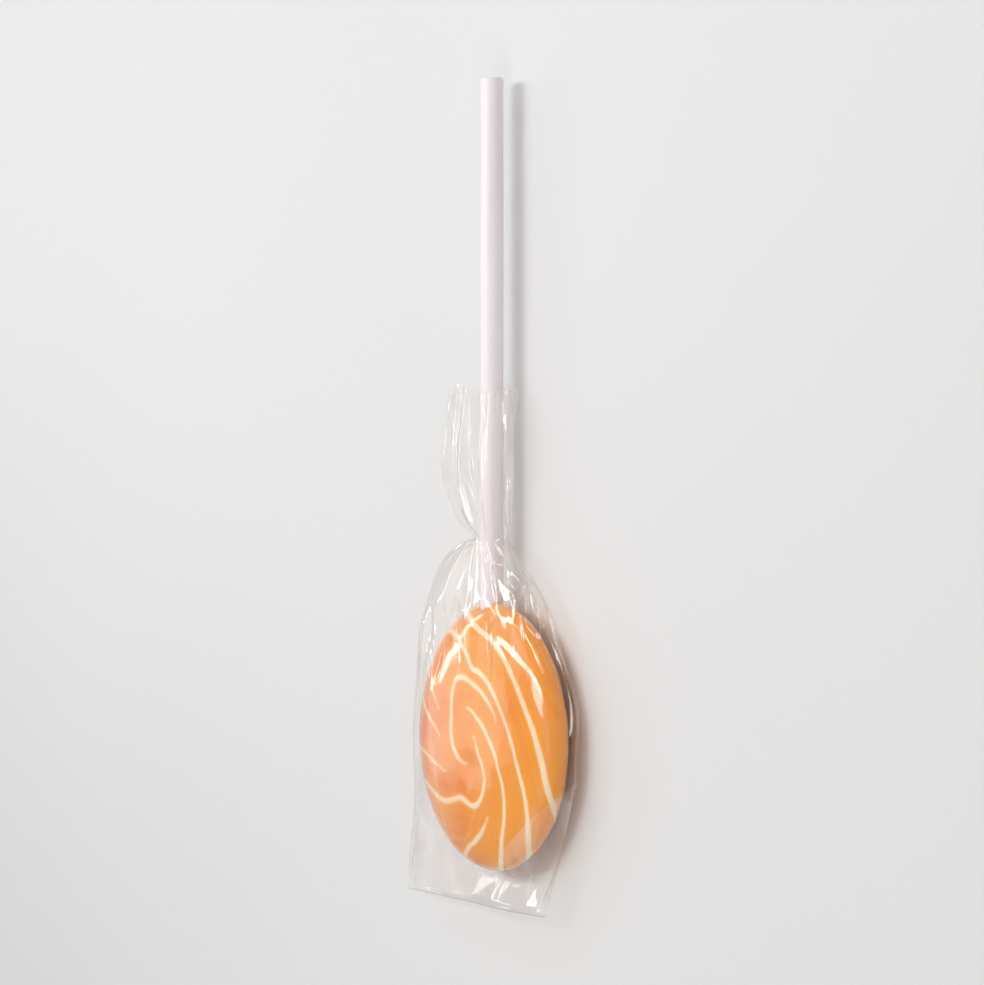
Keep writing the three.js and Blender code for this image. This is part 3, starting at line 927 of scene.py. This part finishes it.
def bag_height(x, y, width, gathered, crease):
    """Height of the film above the bag's middle plane, or below it on the back."""
    tight = tight_height(x, y, FILM_OVER) * (1 - gathered**3)
    to_neck = clamp01((y - SHOULDER_Y) / (NECK_Y - SHOULDER_Y))
    cone = mix(HEAD_HALF + FILM_OVER, NECK_RADIUS, to_neck)
    rounded = cone * np.sqrt(np.maximum(0, 1 - (x / width) ** 2))
    height = mix(tight, np.maximum(tight, rounded), rise(y, *ROUNDING))

    on_face = face_share(y)
    hanging = (1 - on_face) * (1 - gathered)
    pleated = rise(y, *PLEATING) * (1 - gathered)
    height = height + FACE_BROAD * (crease.broad + 1) * on_face
    height = height + FACE_SMALL * (crease.small + 1) * on_face
    height = height + FREE_BROAD * crease.broad * crease.busy * hanging
    height = height + FREE_SMALL * crease.small * hanging
    height = height + FOLD_RISE * width * crease.flat_fold
    height = height + PLEAT_HEIGHT * crease.pleat * pleated
    from_edge = np.maximum(rise(width - np.abs(x), 0, EDGE_FADE), gathered)
    return FILM_EDGE + (height - FILM_EDGE) * from_edge


def spread_tail(x, y, z, angle, gathered, crease):
    """The film above the neck spreads to a ruffled, oval tube that leans to one side."""
    flare = clamp01((y - NECK_Y) / (TAIL_Y - NECK_Y))
    haste = mix(*TAIL_HASTE, 0.5 + 0.5 * np.cos(angle - TAIL_LEAN))
    opened = (1 - (1 - flare) ** haste) * smooth(flare / TAIL_START)
    above = y > NECK_Y
    wide = mix(NECK_RADIUS, TAIL_WIDE, opened)
    high = mix(NECK_RADIUS, TAIL_HIGH, opened)
    x = np.where(above, np.cos(angle) * wide + TAIL_SHIFT[0] * opened, x)
    z = np.where(above, np.sin(angle) * high + TAIL_SHIFT[1] * opened, z)
    ruffle = np.sin(TAIL_RUFFLES * angle + 1.5 * np.sin(2 * angle) + 2 * flare)
    at_neck = NECK_PLEAT * crease.pleat * (1 - 0.6 * flare) + NECK_SMALL * crease.small + NECK_LOOSE
    in_tail = TAIL_RUFFLE * ruffle + TAIL_BROAD * crease.broad + TAIL_SMALL * crease.small
    out = gathered * at_neck + above * opened * in_tail
    return x + out * np.cos(angle), z + out * np.sin(angle), ruffle


def keep_off_stick(x, y, z):
    """Pushes the film outwards where it would sink into the stick."""
    off_stick = np.maximum(np.hypot(x, z), 0.001 * MM)
    push = np.maximum(1, (STICK_RADIUS + FILM_OFF_STICK) / off_stick)
    push = np.where(y > HEAD_RADIUS + 2 * MM, push, 1)
    return x * push, z * push


def uneven_ends(y, row, angle, ruffle):
    """The neck and the end of the tail wander a little along the stick."""
    near_neck = np.exp(-(((row - NECK_Y) / NECK_REACH) ** 2))
    wander = NECK_WANDER * np.sin(3 * angle + 2) * near_neck
    slack = TAIL_SLANT * (1 + np.sin(2 * angle + 1)) + TAIL_JAG * (1 + ruffle)
    return y + wander - slack * rise(y, *TAIL_END)


def film_marks(x, y, lift_mm, gathered, crease):
    """What the film's material reads at each place.

    lift is the gap under the film in mm, patch is a facet's own milkiness plus a painted
    reflection veil that makes it stronger on the left, and line is how near the place is to a
    strong crease.
    """
    hanging = 1 - face_share(y)
    # Painted reflection: the facets are painted milkier towards the left, as the veil of a reflection
    # there.
    veil_leftwards = 1 - rise(x, *VEIL_FADING)
    milk_and_veil = np.maximum(veil_leftwards, HANGING_MILK * hanging)
    return {
        "lift": lift_mm + NECK_LIFT * gathered,
        "patch": (crease.patch + 0.35) * mix(LEAST_MILK, 1.0, milk_and_veil),
        "line": np.maximum(crease.line, 0.5 * crease.small_line * hanging),
    }


def film_places(share, row):
    """Places of the film and its marks. share goes once round the wrapper."""
    top = share < 0.5
    side = np.where(top, 1.0, -1.0)
    across = np.where(top, 1 - 4 * share, 4 * share - 3)
    angle = TURN * share
    y = along_stick(across, row)
    gathered = rise(y, SHOULDER_Y, NECK_Y - SHOULDER_Y)
    width = half_width(across, y)
    x = width * mix(across, np.cos(angle), gathered**0.7)
    crease = film_creases(share, row, y)

    on_head = head_height(x, y) > 0
    sugar = head_height(x, y) + FILM_CLEAR * on_head
    height = bag_height(x, y, width, gathered, crease)
    height = np.maximum(height, np.maximum(sugar, FILM_EDGE))
    lift_mm = np.where(on_head, (height - sugar) / MM, LOOSE_LIFT)
    loose = rise(np.hypot(x, y), *LOOSENING) * (1 - gathered)
    z = side * height * rise(row, CROWN_Y, CROWN_SEAL) + flutter(x, y) * loose

    x, z, ruffle = spread_tail(x, y, z, angle, gathered, crease)
    x, z = keep_off_stick(x, y, z)
    z = np.maximum(HEAD_Z + z, FLOOR_CLEAR)
    marks = film_marks(x, y, lift_mm, gathered, crease)
    return np.stack([x, uneven_ends(y, row, angle, ruffle), z], axis=-1), marks


def crease_marks(bm):
    """How sharply the film bends at each vertex, in radians."""
    marks = np.zeros(len(bm.verts))
    for edge in bm.edges:
        if len(edge.link_faces) == 2:
            bend = edge.calc_face_angle(0.0)
            for vertex in edge.verts:
                marks[vertex.index] = max(marks[vertex.index], bend)
    return marks


def make_film(material):
    """The wrapper: a tube of film, closed flat at the crown and open at the tail."""
    rows = [CROWN_Y]
    for start, end, count in FILM_ROWS:
        rows += list(np.linspace(start, end, count + 1)[1:])
    bm = bmesh.new()
    bmesh.ops.create_circle(bm, radius=1.0, segments=FILM_AROUND)
    edges = bm.edges[:]
    for _ in rows[1:]:
        grown = bmesh.ops.extrude_edge_only(bm, edges=edges)
        fresh = [v for v in grown["geom"] if isinstance(v, bmesh.types.BMVert)]
        bmesh.ops.translate(bm, verts=fresh, vec=(0, 0, 1))
        edges = [e for e in grown["geom"] if isinstance(e, bmesh.types.BMEdge)]
    flat = vertex_places(bm)
    share = (np.arctan2(flat[:, 1], flat[:, 0]) / TURN) % 1.0
    row = np.array(rows)[np.round(flat[:, 2]).astype(int)]
    places, marks = film_places(share, row)
    move_vertices(bm, places)
    bm.verts.index_update()
    marks["crease"] = crease_marks(bm)
    mark_vertices(bm, marks)
    crown = [vertex for vertex, level in zip(bm.verts, flat[:, 2]) if level == 0]
    bmesh.ops.remove_doubles(bm, verts=crown, dist=WELD)
    turn_outwards(bm)
    return finish_piece("film_wrapper", bm, material, ["wrapper"])


def soften(grid, times):
    """Smooths a grid of heights, with its border rows kept where they are."""
    for _ in range(times):
        inner = grid[1:-1, 1:-1]
        around = grid[:-2, 1:-1] + grid[2:, 1:-1] + grid[1:-1, :-2] + grid[1:-1, 2:]
        grid[1:-1, 1:-1] = (inner + around) / 5
    return grid


def heights_under(film, x, y):
    """Height of the top of the film at each place, or of its middle plane beside it."""
    data = film.data
    net = BVHTree.FromPolygons([v.co for v in data.vertices], [p.vertices[:] for p in data.polygons])
    above, down = 0.1, Vector((0, 0, -1))
    hits = [net.ray_cast(Vector((a, b, above)), down)[0] for a, b in zip(x, y)]
    return np.array([hit.z if hit else level for hit, level in zip(hits, HEAD_Z + flutter(x, y))])


def make_film_corner(material, film):
    """The corner turned up over the face, from its fold to its tip."""
    start, end = Vector(FOLD_FROM), Vector(FOLD_TO)
    along = (end - start).normalized()
    corner = Vector((CORNER, CROWN_Y))
    foot = start + along * (corner - start).dot(along)
    tip = 2 * foot - corner
    bm = bmesh.new()
    bmesh.ops.create_grid(bm, x_segments=CORNER_CUTS, y_segments=CORNER_CUTS, size=0.5)
    order = sorted(bm.verts, key=lambda v: (round(v.co.x, 6), round(v.co.y, 6)))
    inwards = np.array([v.co.x + 0.5 for v in order])
    spots = [start.lerp(end, v.co.y + 0.5).lerp(tip, v.co.x + 0.5) for v in order]
    x = np.array([spot.x for spot in spots])
    y = np.array([spot.y for spot in spots])
    sides = CORNER_CUTS + 1
    ground = soften(heights_under(film, x, y).reshape(sides, sides), times=14).ravel()
    height = ground + CORNER_GAP * inwards**0.5 + CORNER_CURL * inwards**4
    for vertex, place in zip(order, zip(x, y, height)):
        vertex.co = place
    turn_outwards(bm)
    free = np.array([v.is_boundary for v in order]) * (inwards > 0)
    _, patch, line = crumple(x + 50 * MM, y, CORNER_FACET, seed=31)  # the facets start at 0
    count = len(order)
    marks = {
        "lift": np.full(count, 2.0),
        "patch": patch,
        "line": np.maximum(line, free),
        "crease": np.zeros(count),
    }
    back = np.argsort([v.index for v in order])
    mark_vertices(bm, {name: values[back] for name, values in marks.items()})
    finish_piece("film_corner", bm, material, ["wrapper"])


# ---------------------------------------------------------------- floor, light, camera


def make_floor():
    """A plain floor, which is stage and no part of the lollipop."""
    bm = bmesh.new()
    bmesh.ops.create_grid(bm, x_segments=1, y_segments=1, size=FLOOR_HALF)
    mesh = bpy.data.meshes.new("floor")
    bm.to_mesh(mesh)
    bm.free()
    mesh.materials.append(floor_material())
    floor = bpy.data.objects.new("floor", mesh)
    bpy.context.scene.collection.objects.link(floor)


def add_softbox(name, way, distance, size, power, along=(1, 0, 0), glints=True):
    """A rectangular lamp that looks at the head.

    way points from the head to the lamp, along is the direction of the lamp's first side, and a
    lamp without glints lights the piece but isn't mirrored in it.
    """
    light = bpy.data.lights.new(name, "AREA")
    light.shape = "RECTANGLE"
    light.size, light.size_y = size
    light.energy = power
    lamp = bpy.data.objects.new(name, light)
    lamp.visible_glossy = glints
    way = Vector(way).normalized()
    short = way.cross(Vector(along)).normalized()
    turned = Matrix((short.cross(way), short, way)).transposed()
    place = Vector((0, 0, HEAD_Z)) + way * distance
    lamp.matrix_world = Matrix.Translation(place) @ turned.to_4x4()
    bpy.context.scene.collection.objects.link(lamp)


def make_lights():
    """Two soft lamps without glints, and narrow ones that draw the highlights."""
    add_softbox("soft_above", (0.17, 0.30, 0.93), 0.72, (0.34, 0.30), 0.92, glints=False)
    add_softbox("fill_near", (0.75, -0.5, 0.75), 1.1, (0.6, 0.6), 2.5, glints=False)
    add_softbox("card_above", (-0.10, 0.27, 0.95), 0.72, (0.24, 0.18), 0.95, (0.90, -0.25, 0.16))
    add_softbox("strip_above", (-0.30, 0.34, 0.89), 0.72, (0.73, 0.055), 1.35, (0.87, 0.07, 0.27))
    add_softbox("strip_behind", (-0.14, 0.83, 0.54), 0.70, (1.10, 0.04), 0.8, (1.18, 0.12, 0.17))
    add_softbox("strip_left", (-0.92, 0.24, 0.36), 0.6, (0.24, 0.035), 0.15, (0, 1, 0))
    add_softbox("card_far_side", (-0.86, 0.05, 0.50), 0.9, (0.4, 0.3), 0.2)
    world = bpy.data.worlds.new("studio")
    world.use_nodes = True
    background = world.node_tree.nodes["Background"]
    background.inputs["Color"].default_value = STUDIO_WHITE
    background.inputs["Strength"].default_value = STUDIO_STRENGTH
    bpy.context.scene.world = world


def make_camera():
    """Looks at the whole lollipop aslant from its right side, with the stick upwards."""
    camera = bpy.data.cameras.new("camera")
    camera.sensor_width = SENSOR_WIDTH
    camera.lens = camera.sensor_width * VIEW_DISTANCE / FRAME_WIDTH
    camera.clip_start = 0.01
    body = bpy.data.objects.new("camera", camera)
    back = Vector((math.sin(VIEW_TILT), 0, math.cos(VIEW_TILT)))
    up = Vector((0, 1, 0))
    right = up.cross(back)
    turned = Matrix((right, up, back)).transposed()
    body.matrix_world = Matrix.Translation(MIDDLE + back * VIEW_DISTANCE) @ turned.to_4x4()
    bpy.context.scene.collection.objects.link(body)
    bpy.context.scene.camera = body
    bpy.context.scene.view_settings.view_transform = "Standard"


# ---------------------------------------------------------------- putting it together

film_clear = film_material()
make_candy(sugar_material())
make_stick(stick_material())
film_wrapper = make_film(film_clear)
make_film_corner(film_clear, film_wrapper)
make_floor()
make_lights()
make_camera()
